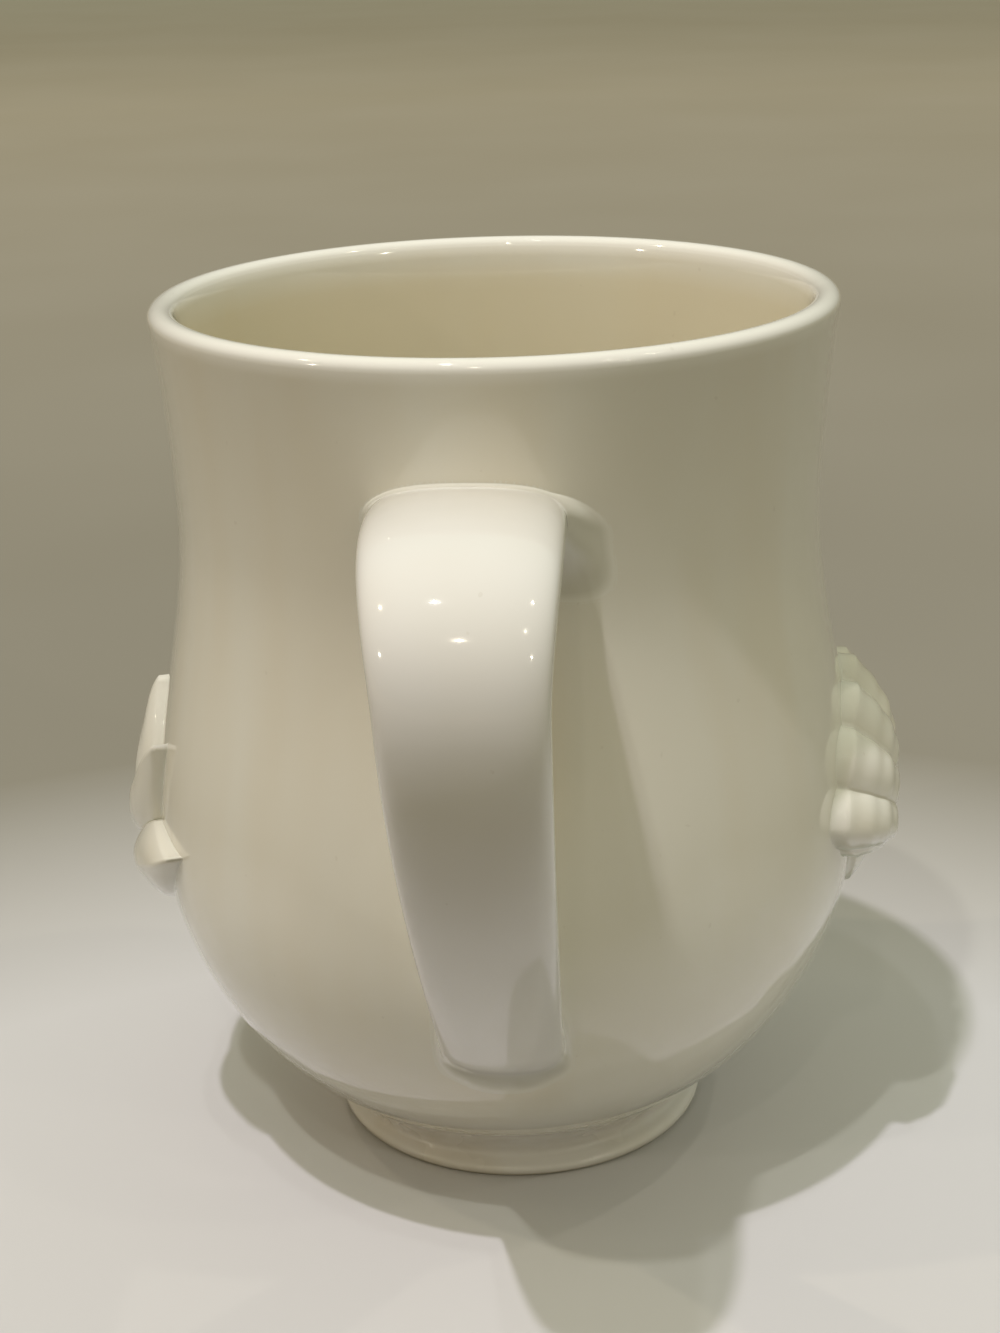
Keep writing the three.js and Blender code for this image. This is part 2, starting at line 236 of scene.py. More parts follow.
def bezier(points, count):
    """Bernstein sum over 3 or 4 control points, at count even steps."""
    t = np.linspace(0, 1, count)[:, None]
    n = len(points) - 1
    return sum(math.comb(n, k) * (1 - t) ** (n - k) * t ** k * np.array(p, float)
               for k, p in enumerate(points))


def joined(*stretches):
    """Stretches of (radius, height) points, end to end, with repeated points left out."""
    line = np.concatenate([np.asarray(s, float) for s in stretches])
    keep = np.r_[True, np.linalg.norm(np.diff(line, axis=0), axis=1) > 1e-3]
    return line[keep]

# %% [markdown]
# The body is one glazed shell. It could be a lathe object with a Screw modifier. A profile worked
# out as arrays gives the lip, the wall and the inside floor their own curves and even steps, and
# the highlights run over it without a break. Warm light is painted into its colour inside, and a
# paler lip is a painted highlight.

# %% The cup body
BODY_START, INSIDE_START = 5.3, 10.5
OUTSIDE_RINGS, INSIDE_RINGS, LIP_RINGS, BOWL_RINGS = 110, 90, 17, 24
CROWDING = 1.35
BASE_RADII = 0, 10, 21.5
BOWL_PULL, BOWL_FLAT, FLOOR_FLAT = 7.0, 18.0, 12.0
FLOOR_DIP = 0.1
INNER_LIGHT_EASE = 5
LIP_HIGHLIGHT_DEPTH, LIP_HIGHLIGHT_EASE = 2.5, 2


def side_of_wall(low, high, count, proud):
    """Wall points from low to high, closer together at the low end where the wall turns under.

    Even steps are raised to the power CROWDING."""
    z = low + (high - low) * np.linspace(0, 1, count) ** CROWDING
    return np.stack(off_wall(z, proud), axis=-1)


lip_height = HEIGHT - LIP_RADIUS
base = [(radius, RECESS) for radius in BASE_RADII]
outside = side_of_wall(BODY_START, lip_height, OUTSIDE_RINGS, 0)
inside = side_of_wall(INSIDE_START, lip_height, INSIDE_RINGS, -WALL)[::-1]

lip_angle = np.linspace(0, np.pi, LIP_RINGS)[1:-1]
lip_middle, lip_half = (outside[-1] + inside[0]) / 2, (outside[-1, 0] - inside[0, 0]) / 2
lip_rise = HEIGHT - lip_middle[1]
lip = lip_middle + np.stack([lip_half * np.cos(lip_angle), lip_rise * np.sin(lip_angle)], axis=-1)

down = inside[-1] - inside[-2]
bowl = bezier([inside[-1], inside[-1] + BOWL_PULL * down / np.linalg.norm(down),
               (BOWL_FLAT, FLOOR_HEIGHT), (FLOOR_FLAT, FLOOR_HEIGHT)], BOWL_RINGS)
floor_dip = [(FLOOR_FLAT / 2, FLOOR_HEIGHT - FLOOR_DIP / 2), (0, FLOOR_HEIGHT - FLOOR_DIP)]

profile = joined(base, outside, lip, inside, bowl, floor_dip)
radius, height = profile.T
within = (wall_radius(height) - radius > WALL / 2) & (height > RECESS + FLOOR_THICK / 2)
# Painted warm light: the colour turns warmer on the inside wall and floor, easing in below the lip.
painted_inner_light = within * smooth_step((lip_height - height) / INNER_LIGHT_EASE)
# Painted highlight: the colour turns paler over the lip.
painted_lip_highlight = smooth_step((height - (HEIGHT - LIP_HIGHLIGHT_DEPTH)) / LIP_HIGHLIGHT_EASE)
cup = turned("glazed_cup_body", radius, height, tone_and_painted_light=painted_inner_light - painted_lip_highlight)
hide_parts("cup_body")

# %% [markdown]
# The foot ring flares like a trumpet and stands on a rounded edge whose glaze is wiped off
# before firing. Slip fills the corner between ring and belly, so the ring's profile runs on up
# and meets the wall along its tangent, then sinks slowly below the glaze of the body. A ring
# luted on by hand is seldom quite central, so it stands a little to one side.

# %% The foot ring
FOOT_RADIUS = (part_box("foot_ring")[1][0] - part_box("foot_ring")[0][0]) / 2 / MM
NECK_RADIUS, NECK_HEIGHT = 23.1, 2.8
NECK_PULL, CORNER_PULL, FLARE_PULL = 1.2, 0.55, 0.9
FOOT_WALL = 3.6
FOOT_EDGE = 1.0
FOOT_TOUCH = 9.0
FOOT_OVERLAP = 1.6
SUNK, BURIED = 0.06, 1.0
CEILING_ROUND, CEILING_LIFT = 1.8, 0.01
PLUG_GAP, PLUG_LOW, PLUG_HIGH, PLUG_TOP = 2.2, 0.05, 1.0, 2.5
FOOT_ASIDE = 0.8

touch = np.array(off_wall(FOOT_TOUCH, 0))
corner = np.array((NECK_RADIUS, touch[1] - (touch[0] - NECK_RADIUS) / wall_slope(FOOT_TOUCH)))
neck = bezier([(NECK_RADIUS, NECK_HEIGHT), (NECK_RADIUS, NECK_HEIGHT + NECK_PULL),
               (1 - CORNER_PULL) * touch + CORNER_PULL * corner, touch], 40)
overlap = np.linspace(0, 1, 9)[1:]
buried = np.stack(off_wall(FOOT_TOUCH + FOOT_OVERLAP * overlap, -SUNK * overlap), axis=-1)
flare = bezier([(FOOT_RADIUS, FOOT_EDGE), (FOOT_RADIUS, FOOT_EDGE + FLARE_PULL),
                (NECK_RADIUS, NECK_HEIGHT - FLARE_PULL), (NECK_RADIUS, NECK_HEIGHT)], 20)

edge_angle = np.linspace(-np.pi / 2, 0, 9)
outer_edge = np.stack([FOOT_RADIUS - FOOT_EDGE + FOOT_EDGE * np.cos(edge_angle),
                       FOOT_EDGE + FOOT_EDGE * np.sin(edge_angle)], axis=-1)
inner_radius = NECK_RADIUS - FOOT_WALL
inner_edge = np.stack([inner_radius + FOOT_EDGE - FOOT_EDGE * np.cos(edge_angle[::-1]),
                       FOOT_EDGE + FOOT_EDGE * np.sin(edge_angle[::-1])], axis=-1)
ceiling = bezier([(inner_radius - CEILING_ROUND, RECESS - CEILING_LIFT), (inner_radius, RECESS),
                  (inner_radius, RECESS - CEILING_ROUND)], 10)

hidden_start = [(0, RECESS + PLUG_HIGH), (inner_radius - PLUG_GAP, RECESS + PLUG_HIGH),
                (inner_radius - PLUG_GAP, RECESS + PLUG_LOW)]
hidden_end = [off_wall(FOOT_TOUCH + FOOT_OVERLAP, -BURIED), (0, RECESS + PLUG_TOP)]
ring_profile = joined(hidden_start, ceiling, inner_edge, outer_edge, flare, neck, buried, hidden_end)
radius, height = ring_profile.T
aside = FOOT_ASIDE * (1 - smooth_step((height - FOOT_EDGE) / (NECK_HEIGHT + FOOT_EDGE)))
foot = turned("glazed_foot_ring", radius, height, aside)
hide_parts("foot_ring")

# %% [markdown]
# The handle is a strap: a squarish oval section, wide across the hand and thin in the side view.
# It is carried along a middle line of three curves: the arm and shoulder down to the knee, the
# long heel, and a short curl onto the belly. A curve object with a bevel would turn the section
# the same way, but could not change its width, its thickness and its roots separately.

# %% The strap's middle line
HANDLE_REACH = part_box("strap_handle")[1][0] / MM - AXIS_X
HANDLE_TOP = HEIGHT - 14.3
KNEE_HEIGHT = HANDLE_TOP - 16.5
LANDING = 26.2
THICK, THICK_LOW = 7.0, 5.4
ROOT_DEPTH, SOLE_DEPTH = 5.0, 3.0
ARM_PULL, KNEE_PULL_UP, KNEE_PULL_DOWN = (20.0, 3.1), (0, 13.0), (0, 15.5)
HEEL_OFF, HEEL_PULL, CURL_PULL = (3.1, 6.2), (8.5, 12.1), (2.8, 4.0)
BURIED_END = -2.5, 0.2

start = np.array([float(wall_radius(HANDLE_TOP - THICK / 2)) - ROOT_DEPTH, HANDLE_TOP - THICK / 2])
knee = np.array([HANDLE_REACH - THICK / 2, KNEE_HEIGHT])
landing = np.array([float(wall_radius(LANDING)), LANDING])
heel = landing + HEEL_OFF
sole = landing + (-SOLE_DEPTH, THICK_LOW / 4)
arm = bezier([start, start + ARM_PULL, knee + KNEE_PULL_UP, knee], 600)
leg = bezier([knee, knee - KNEE_PULL_DOWN, heel + HEEL_PULL, heel], 600)
curl = bezier([heel, heel - CURL_PULL, sole], 200)
line = joined(arm, leg, curl, [sole + BURIED_END])
length = np.r_[0, np.cumsum(np.linalg.norm(np.diff(line, axis=0), axis=1))]
knee_at = length[len(arm) - 1]
print("strap line", round(length[-1], 1), "mm long, knee at", round(knee_at, 1))

# %% [markdown]
# The strap's section changes as it goes: wide at the arm, where the fingers carry the weight, and
# narrow at the landing. It is a squarish oval with slightly crowned faces. A strap luted on by
# hand is never quite true, so this one leans, and its arm stands a little to the left.

# %% The strap's section along its line
WIDE, WIDE_KNEE, WIDE_LOW = 21.4, 17.3, 13.8
ROUNDNESS, ROUNDNESS_LOW = 2.9, 2.6
CROWN = 0.15
LEAN, LEAN_HEIGHT = math.tan(math.radians(1.7)), 67.0
ARM_ASIDE = 0.5
FLARE_SAG = 0.6
LOOK_AHEAD = 0.4


def rounded(value, power):
    """|value|^power with the sign of value, the radius law of a squarish oval."""
    return np.sign(value) * np.abs(value) ** power


def strap_point(distance, angle, growth):
    """Middle line at that distance, moved across and outwards by the oval section and growth.

    The section is |x/a|^p + |y/b|^p = 1, with b lowered by CROWN (x/a)^2 to crown the faces. Width
    eases from the arm to the knee, then width, thickness and p fall evenly to the landing. The
    flare of the upper root sags by FLARE_SAG of its growth at the strap's two edges."""
    x, z = (np.interp(distance, length, line[:, i]) for i in (0, 1))
    ahead, behind = (np.array([np.interp(distance + d, length, line[:, i]) for i in (0, 1)])
                     for d in (LOOK_AHEAD, -LOOK_AHEAD))
    tangent = (ahead - behind) / np.linalg.norm(ahead - behind, axis=0)
    before = np.clip(distance / knee_at, 0, 1)
    after = np.clip((distance - knee_at) / (length[-1] - knee_at), 0, 1)
    width = WIDE + (WIDE_KNEE - WIDE) * smooth_step(before ** 2) + (WIDE_LOW - WIDE_KNEE) * after
    thick = THICK + (THICK_LOW - THICK) * after
    power = 2 / (ROUNDNESS + (ROUNDNESS_LOW - ROUNDNESS) * after)
    side = rounded(np.cos(angle), power)
    face = rounded(np.sin(angle), power) * (1 - CROWN * side ** 2)
    across = side * width / 2 + np.cos(angle) * growth - ARM_ASIDE * (1 - smooth_step(before))
    sag = FLARE_SAG * np.cos(angle) ** 2 * (1 - after)
    out = face * thick / 2 + (np.sin(angle) - sag) * growth
    high = z + tangent[0] * out
    return np.stack([x - tangent[1] * out, across + LEAN * (LEAN_HEIGHT - high), high], axis=-1)

# %% [markdown]
# Near the wall each side of the strap turns outwards in a hollow quarter-ellipse and ends level
# with the wall. At angle q it stands f(1 - sin q) off the wall and has grown g(1 - cos q)
# sideways. For each side of the strap the place along the line where that distance comes true is
# looked up, so the root follows the cup's curve all round. A last shallow skirt dips under the
# glaze, so that no edge shows where root and wall meet.

# %% Flared roots
SKIRT_DIP = np.array([0.0, -0.012, -0.03, -0.06, -0.6])
SKIRT_GROWTH = np.array([0.25, 0.5, 0.8, 1.1, 1.3])


def off_cup(point):
    """How far points, given from the cup's axis, stand off the wall, measured level."""
    return np.hypot(point[..., 0], point[..., 1]) - wall_radius(point[..., 2])


def around(angle, *values):
    """Eight values, one every 45 degrees from the right side over the outer face.

    Between two neighbours the weights are cos^2 and sin^2 of twice the turn, which add up to 1."""
    turn = (angle - np.arange(8)[:, None] * np.pi / 4 + np.pi) % (2 * np.pi) - np.pi
    weights = np.where(np.abs(turn) < np.pi / 4, np.cos(2 * turn) ** 2, 0)
    return np.array(values) @ weights


def root_rings(angle, hollow, spread, samples, steps):
    """Rings of one root from the strap (q = 0) to the wall (q = 90 degrees), then the skirt."""
    q = np.linspace(0, np.pi / 2, steps)[:, None]
    stand = np.concatenate([hollow * (1 - np.sin(q)), SKIRT_DIP[:, None] + 0 * hollow])
    growth = np.concatenate([spread * (1 - np.cos(q)), spread + SKIRT_GROWTH[:, None]])
    rings = []
    for height, grown in zip(stand, growth):
        gap = off_cup(strap_point(samples[:, None], angle[None], grown[None]))
        order = np.argsort(gap, axis=0)
        along = np.array([np.interp(height[j], gap[order[:, j], j], samples[order[:, j]])
                          for j in range(len(angle))])
        rings.append((along, strap_point(along, angle, grown)))
    return rings

# %% [markdown]
# The whole handle is one skin: the upper root from the wall out, the strap, and the lower root
# back to the wall. Shade is painted into the colour in the hollow of a root, and the colour runs
# over from the handle's to the cup's there, so each ring point also keeps how near to the cup it
# lies.

# %% The handle
AROUND = 144
ROOT_STEPS, STRAP_STEPS = 20, 170
UPPER_REACH, LOWER_REACH = 18, 26
# Painted shade: a root's hollow this deep gets the full shaded colour.
ROOT_SHADE_DEPTH = 1.8
NEAR_CUP_POWER = 0.7
UPPER_CAP, LOWER_CAP = (2, 0, 0), (1.5, 0, 0)

section = np.linspace(0, 2 * np.pi, AROUND, endpoint=False)
upper_hollow = around(section, 3.6, 1.6, 1.2, 1.5, 2.0, 3.5, 5.0, 5.5)
upper_spread = around(section, 4.6, 0.5, 0.4, 0.5, 0.9, 2.5, 5.5, 7.2)
lower_hollow = around(section, 1.6, 1.8, 2.2, 1.8, 1.6, 2.2, 3.0, 2.2)
lower_spread = around(section, 1.0, 1.6, 2.6, 1.6, 0.9, 1.6, 2.2, 1.6)
upper = root_rings(section, upper_hollow, upper_spread, np.linspace(0, UPPER_REACH, 900), ROOT_STEPS)
lower = root_rings(section, lower_hollow, lower_spread,
                   np.linspace(length[-1] - LOWER_REACH, length[-1], 1100), ROOT_STEPS)

share = np.linspace(0, 1, STRAP_STEPS)[1:-1, None]
between = upper[0][0] + (lower[0][0] - upper[0][0]) * share
strap = strap_point(between, section, 0)
rings = np.concatenate([[r for _, r in upper[::-1]], strap, [r for _, r in lower]])
rings[..., 0] += AXIS_X

to_wall = np.r_[np.linspace(0, 1, ROOT_STEPS), np.ones(len(SKIRT_DIP))][:, None] + 0 * section
plain = 0 * share * section
# Painted shade: the colour darkens in the hollow of each root, most half-way to the wall.
tones_and_painted_shade = np.concatenate([np.sin(np.pi * to_wall[::-1]) * upper_hollow / ROOT_SHADE_DEPTH, plain,
                        np.sin(np.pi * to_wall) * lower_hollow / ROOT_SHADE_DEPTH])
near_cup = np.concatenate([to_wall[::-1], plain, to_wall]) ** NEAR_CUP_POWER
handle = skin("glazed_strap_handle", rings, rings[0].mean(axis=0) - UPPER_CAP,
              rings[-1].mean(axis=0) - LOWER_CAP, np.clip(tones_and_painted_shade, 0, 1))
note(handle, "near_cup", near_cup, 1)
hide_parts("strap_handle", "upper_slip_seam", "lower_slip_seam")

# %% [markdown]
# Sprigged reliefs are pressed in small moulds and stuck on the leather-hard wall. Each is a polar
# grid on the wall: s runs from the middle to the outline and a runs round it. A function gives
# how far across and up each point lies and how proud it stands. Past the outline a hollow fillet
# of slip carries the surface down to the wall.

# %% Reliefs as polar grids on the wall
RELIEF_EDGE = 0.9
SLIP_WIDTH = 0.9
RELIEF_DARK_BELOW = 2.0
RING_SPACING = 0.85
BACK_DEPTH, UNDER_DEPTH = 1.0, 1.5


def relief(name, facing, height, shape, sectors=320, steps=60):
    """Closed relief around the wall point (facing, height). shape(s, a) gives across, up, proud.

    Rings past the outline widen by SLIP_WIDTH t and fall as (1 - t)^2, t from 0 to 1. The colour
    turns darker where the relief stands less than a set height proud."""
    a = np.linspace(0, 2 * np.pi, sectors, endpoint=False)[None]
    s = np.linspace(0, 1, steps)[1:, None] ** RING_SPACING
    across, high, proud = shape(s, a)
    t = np.linspace(0, 1, 9)[1:, None]
    wider = 1 + SLIP_WIDTH * t / np.hypot(across[-1:], high[-1:])
    across = np.concatenate([across, across[-1:] * wider])
    high = np.concatenate([high, high[-1:] * wider])
    proud = np.concatenate([proud, proud[-1:] * (1 - t) ** 2 - SUNK * t])
    # The colour turns darker where the relief stands low, near the wall.
    tone_and_painted_light = np.clip(1 - proud / RELIEF_DARK_BELOW, 0, 1)
    turn = facing + across / float(wall_radius(height))
    front = wall_point(turn, height + high, proud)
    back = wall_point(turn[-1:], height + high[-1:], -BACK_DEPTH + 0 * proud[-1:])
    middle_across, middle_high, middle_proud = (v[0, 0] for v in shape(np.zeros((1, 1)), np.zeros((1, 1))))
    peak = wall_point(np.array(facing + middle_across), np.array(height + middle_high), middle_proud)
    under = wall_point(np.array(facing), np.array(height), -UNDER_DEPTH)
    rings = np.concatenate([front, back])[::-1]
    tones_and_painted_shade = np.concatenate([tone_and_painted_light, tone_and_painted_light[-1:]])[::-1]
    return skin(name, rings, under, peak, tones_and_painted_shade)

# %% [markdown]
# The leaf spray is a traditional moulded ornament: five pointed leaves fan out of one base, and
# the outer ones turn up. Each leaf swells across its width, has a fine groove along its midrib
# and lifts a little at its tip, which is what catches the light.

# %% The leaf spray
LEAF_BASE_HEIGHT = 38.0
LEAF_LENGTH, LEAF_SIDE_LENGTH, LEAF_STALK = 22.0, 24.0, 6.0
LEAF_SPACING = np.pi / 4
LEAF_VALLEY, LEAF_TURN_UP = 0.42, 7.0
LEAF_PROUD, LEAF_RIB = 4.5, 1.1
TIP_LIFT, TIP_LENGTH = 0.9, 0.35
VEIN_DEPTH, VEIN_WIDTH = 0.3, 0.14


def leaf_shape(s, a):
    """Outline: leaf length times (1 - valley * off^0.8), off from 0 on a midrib to 1 in a valley.

    The height is a dome (1 - s^2.4)^0.8, plus a swell along each midrib, less a groove of Gaussian
    width VEIN_WIDTH, plus a rise over the last TIP_LENGTH of the leaf. The outline is lifted by
    LEAF_TURN_UP times the square of how far across it lies."""
    nearest = np.round(a / LEAF_SPACING)
    off = np.abs(a - nearest * LEAF_SPACING) / (LEAF_SPACING / 2)
    is_leaf = (nearest % 8) <= 4
    long = np.where(nearest % 4 == 0, LEAF_SIDE_LENGTH, LEAF_LENGTH)
    reach = np.maximum(np.where(is_leaf, long * (1 - LEAF_VALLEY * off ** 0.8), 0), LEAF_STALK)
    across = np.cos(a) * s * reach
    high = np.sin(a) * s * reach + LEAF_TURN_UP * (across / LEAF_SIDE_LENGTH) ** 2
    dome = (1 - s ** 2.4) ** 0.8
    swell = LEAF_RIB * (1 - off ** 1.6) * np.sin(np.pi * s ** 0.9)
    vein = VEIN_DEPTH * np.exp(-(off / VEIN_WIDTH) ** 2) * smooth_step(s / 0.3) * (1 - s)
    tip = TIP_LIFT * smooth_step((s - (1 - TIP_LENGTH)) / TIP_LENGTH) * (1 - off) ** 1.5
    leafy = np.where(is_leaf, swell - vein + tip, 0.0)
    return across, high, RELIEF_EDGE + (LEAF_PROUD - RELIEF_EDGE - LEAF_RIB) * dome + leafy


spray = relief("glazed_leaf_spray", -np.pi / 2, LEAF_BASE_HEIGHT, leaf_shape)
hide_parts("leaf_spray_relief")

# %% [markdown]
# The scallop shell faces the other way. Its fan swells out and back again between the hinge and
# the scalloped edge, its ribs are broad with narrow grooves, and faint growth lines cross them.

# %% The scallop shell
SHELL_HINGE_HEIGHT = 39.5
SHELL_LENGTH, SHELL_KNOB = 21.5, 8.0
SHELL_PROUD, SHELL_KNOB_PROUD = 6.1, 2.4
SHELL_RIB, SHELL_SCALLOP, GROWTH_LINE = 0.5, 0.8, 0.07
RIB_PAIRS, GROWTH_LINES = 8, 7


def shell_shape(s, a):
    """Swell: sin of pi times s^1.15. Ribs: |cos 8a|^0.7, so their grooves are narrow.

    The fan fills the upper half, where sin a is above -0.15, and eases into the hinge's knob."""
    fan = smooth_step((np.sin(a) + 0.15) / 0.5)
    rib = 2 * np.abs(np.cos(RIB_PAIRS * a)) ** 0.7 - 1
    reach = SHELL_KNOB + (SHELL_LENGTH + SHELL_SCALLOP * rib - SHELL_KNOB) * fan
    swell = np.sin(np.pi * (0.06 + 0.9 * s) ** 1.15)
    lines = GROWTH_LINE * np.cos(2 * np.pi * GROWTH_LINES * s) * smooth_step(s / 0.4)
    fan_proud = (SHELL_PROUD - RELIEF_EDGE - SHELL_RIB) * swell + SHELL_RIB * rib * s + lines
    knob_proud = (SHELL_KNOB_PROUD - RELIEF_EDGE) * np.sin(np.pi * s)
    proud = RELIEF_EDGE + np.maximum(0, fan * fan_proud + (1 - fan) * knob_proud)
    return np.cos(a) * s * reach, np.sin(a) * s * reach, proud


shell = relief("glazed_scallop_shell", np.pi / 2, SHELL_HINGE_HEIGHT, shell_shape)
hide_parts("scallop_shell_relief")

# %% [markdown]
# Materials here are small graphs of nodes. These helpers each add one node, link what goes into
# it and return what comes out, so a graph can be written as a few lines of sums.

# %% Helpers for nodes
def link(tree, source, target):
    tree.links.new(source, target)


def add_node(tree, kind, **values):
    node = tree.nodes.new(kind)
    for key, value in values.items():
        setattr(node, key, value)
    return node


def feed(tree, value, socket):
    """Links a socket to a socket, or sets a socket to a number or colour."""
    if isinstance(value, bpy.types.NodeSocket):
        link(tree, value, socket)
    else:
        socket.default_value = value


def mixed(tree, factor, first, second):
    """A colour between first and second; each is a colour or a socket."""
    mix = add_node(tree, "ShaderNodeMix", data_type="RGBA")
    link(tree, factor, mix.inputs["Factor"])
    for value, socket in ((first, mix.inputs[6]), (second, mix.inputs[7])):
        feed(tree, (*value, 1) if isinstance(value, tuple) else value, socket)
    return mix.outputs[2]


def mapped(tree, value, low, high, to_low, to_high):
    """value, held between low and high, carried over to the range to_low to to_high."""
    node = add_node(tree, "ShaderNodeMapRange", clamp=True)
    for name, number in (("From Min", low), ("From Max", high), ("To Min", to_low), ("To Max", to_high)):
        node.inputs[name].default_value = number
    link(tree, value, node.inputs["Value"])
    return node.outputs["Result"]


def combined(tree, operation, *values):
    """One sum, product, difference or greatest of all the values, taken two by two."""
    result = values[0]
    for value in values[1:]:
        node = add_node(tree, "ShaderNodeMath", operation=operation)
        feed(tree, result, node.inputs[0])
        feed(tree, value, node.inputs[1])
        result = node.outputs["Value"]
    return result


def apart(tree, place):
    """The three coordinates of a place."""
    node = add_node(tree, "ShaderNodeSeparateXYZ")
    link(tree, place, node.inputs["Vector"])
    return node.outputs


def noise(tree, place, scale, detail):
    """Soft clouds, scale of them to the metre, with detail finer layers; mostly 0.3 to 0.7."""
    node = add_node(tree, "ShaderNodeTexNoise")
    node.inputs["Scale"].default_value = scale
    node.inputs["Detail"].default_value = detail
    link(tree, place, node.inputs["Vector"])
    return node.outputs["Fac"]

# %% [markdown]
# Porcelain is a white, slightly translucent body under a clear glaze. The glaze is the sharp
# reflection, so it is the coat of the shader, and the body below it is softer. The colour here
# also holds painted light: faint upright streaks are painted reflections, a paler lip is a
# painted highlight, and a number kept on the mesh paints warm light inside the cup and shade in
# the handle's roots, and darkens the reliefs where they stand low. Noise in object coordinates
# makes the clouds, streaks and specks small and slow.

# %% The colour of glazed porcelain
CLOUDS, PAINTED_STREAK_SCALE, SPECKS = 28, 60, 900
UPRIGHT_STRETCH = (1, 1, 0.12)
# Painted reflection: the colour of faint upright streaks.
PAINTED_REFLECTION_STREAK = (0.80, 0.74, 0.60)
# Painted highlight: the pale colour of the lip.
PAINTED_LIP_HIGHLIGHT = (0.93, 0.925, 0.88)
SPECK = (0.42, 0.36, 0.27)
DEEP_TONE_SHARE, SPECK_SHARE = 0.55, 0.12


def attribute(tree, name):
    return add_node(tree, "ShaderNodeAttribute", attribute_name=name).outputs["Fac"]


def upright(tree, place):
    """The place squeezed along z, which draws noise out into upright streaks."""
    node = add_node(tree, "ShaderNodeVectorMath", operation="MULTIPLY")
    link(tree, place, node.inputs[0])
    node.inputs[1].default_value = UPRIGHT_STRETCH
    return node.outputs["Vector"]


def glaze_colour(tree, place, clear, warm, deep_colour_and_painted_light, at_cup, painted_streak_share):
    """clear and warm in clouds, at_cup near the cup, then painted reflection streaks, the deep colour
    by the mesh's number (painted warm light, painted shade, a darker low relief), the painted lip
    highlight and specks.
    """
    colour = mixed(tree, mapped(tree, noise(tree, place, CLOUDS, 2), 0.35, 0.65, 0, 1), clear, warm)
    if at_cup:
        colour = mixed(tree, attribute(tree, "near_cup"), colour, at_cup)
    # Painted reflections: faint upright streaks of a warmer, darker colour stand in for reflected bands.
    painted_reflection_streaks = noise(tree, upright(tree, place), PAINTED_STREAK_SCALE, 2)
    colour = mixed(tree, mapped(tree, painted_reflection_streaks, 0.48, 0.7, 0, painted_streak_share), colour, PAINTED_REFLECTION_STREAK)
    tone_values_and_painted_light = attribute(tree, "tone_and_painted_light")
    # Painted light and shade: the mesh's number mixes in the deep colour, warm light inside the cup and shade
    # in the handle's roots, and a darker tone where the reliefs stand low.
    colour = mixed(tree, mapped(tree, tone_values_and_painted_light, 0.2, 1.0, 0, DEEP_TONE_SHARE), colour, deep_colour_and_painted_light)
    # Painted highlight: numbers below 0 turn the colour paler, over the cup's lip.
    colour = mixed(tree, mapped(tree, tone_values_and_painted_light, -1, 0, 1, 0), colour, PAINTED_LIP_HIGHLIGHT)
    specks = noise(tree, place, SPECKS, 0)
    return mixed(tree, mapped(tree, specks, 0.86, 0.9, 0, SPECK_SHARE), colour, SPECK)

# %% [markdown]
# The shader has two layers. The lower one has the body's colour and a soft shine, whose roughness
# changes a little from place to place. The coat over it is the outer face of the glaze, almost a
# mirror. A faint bump bends the reflections, as the ripples of a real glaze do. On the foot the
# glaze is wiped off where it stands, which leaves a dull edge.

# %% The glaze
SMEARS, RIPPLES = 60, 150
RIPPLE_DEPTH = 0.0004
WIPED_TO, GLAZED_FROM = 0.0004, 0.0007
WIPED_ROUGHNESS = 0.6
GLASS_IOR = 1.5
COAT = 0.9


def glaze(name, clear, warm, deep_colour_and_painted_light, wiped=None, roughness=(0.06, 0.12), ripple=0.12,
          gloss=0.02, at_cup=None, painted_streak_share=0.5):
    """Glazed porcelain: clear and warm are its two body colours, and the third is the deep colour
    that the mesh's number mixes in: painted warm light in the cup, painted shade in the handle's
    roots and a darker tone on the reliefs.

    wiped is the bare paste of the standing edge. at_cup is the body colour that a root runs into."""
    material = bpy.data.materials.new(name)
    material.use_nodes = True
    tree = material.node_tree
    shader = tree.nodes["Principled BSDF"]
    place = add_node(tree, "ShaderNodeTexCoord").outputs["Object"]
    colour = glaze_colour(tree, place, clear, warm, deep_colour_and_painted_light, at_cup, painted_streak_share)
    rough = mapped(tree, noise(tree, place, SMEARS, 3), 0.3, 0.7, *roughness)
    if wiped:
        bare = mapped(tree, apart(tree, place)["Z"], WIPED_TO, GLAZED_FROM, 1, 0)
        colour = mixed(tree, bare, colour, wiped)
        rough = combined(tree, "MAXIMUM", rough, mapped(tree, bare, 0, 1, 0, WIPED_ROUGHNESS))
    link(tree, colour, shader.inputs["Base Color"])
    link(tree, rough, shader.inputs["Roughness"])
    bump = add_node(tree, "ShaderNodeBump")
    bump.inputs["Strength"].default_value = ripple
    bump.inputs["Distance"].default_value = RIPPLE_DEPTH
    link(tree, noise(tree, upright(tree, place), RIPPLES, 1), bump.inputs["Height"])
    link(tree, bump.outputs["Normal"], shader.inputs["Normal"])
    shader.inputs["IOR"].default_value = GLASS_IOR
    shader.inputs["Coat Weight"].default_value = COAT
    shader.inputs["Coat Roughness"].default_value = gloss
    shader.inputs["Coat IOR"].default_value = GLASS_IOR
    return material

# %% [markdown]
# The mug is glazed as a whole, but the glaze takes another tone on each piece. The cup is the
# creamiest, with warm light painted into its colour inside. The handle's colours are a whiter copy
# of the glaze that paints the light on the strap, and shade is painted in its roots. The foot's
# glaze is softer, because it is wiped while wet, and its colours are a whiter, bluer copy that
# paints the light on the foot. The two reliefs share the cup's cream and turn darker where they
# stand low.

# %% A glaze for each piece
CREAM, WARM = (0.86, 0.85, 0.77), (0.84, 0.82, 0.73)
# The second colour here is painted warm light for the inside of the cup.
DEEP_GREY, PAINTED_INNER_LIGHT = (0.76, 0.765, 0.69), (0.73, 0.65, 0.44)
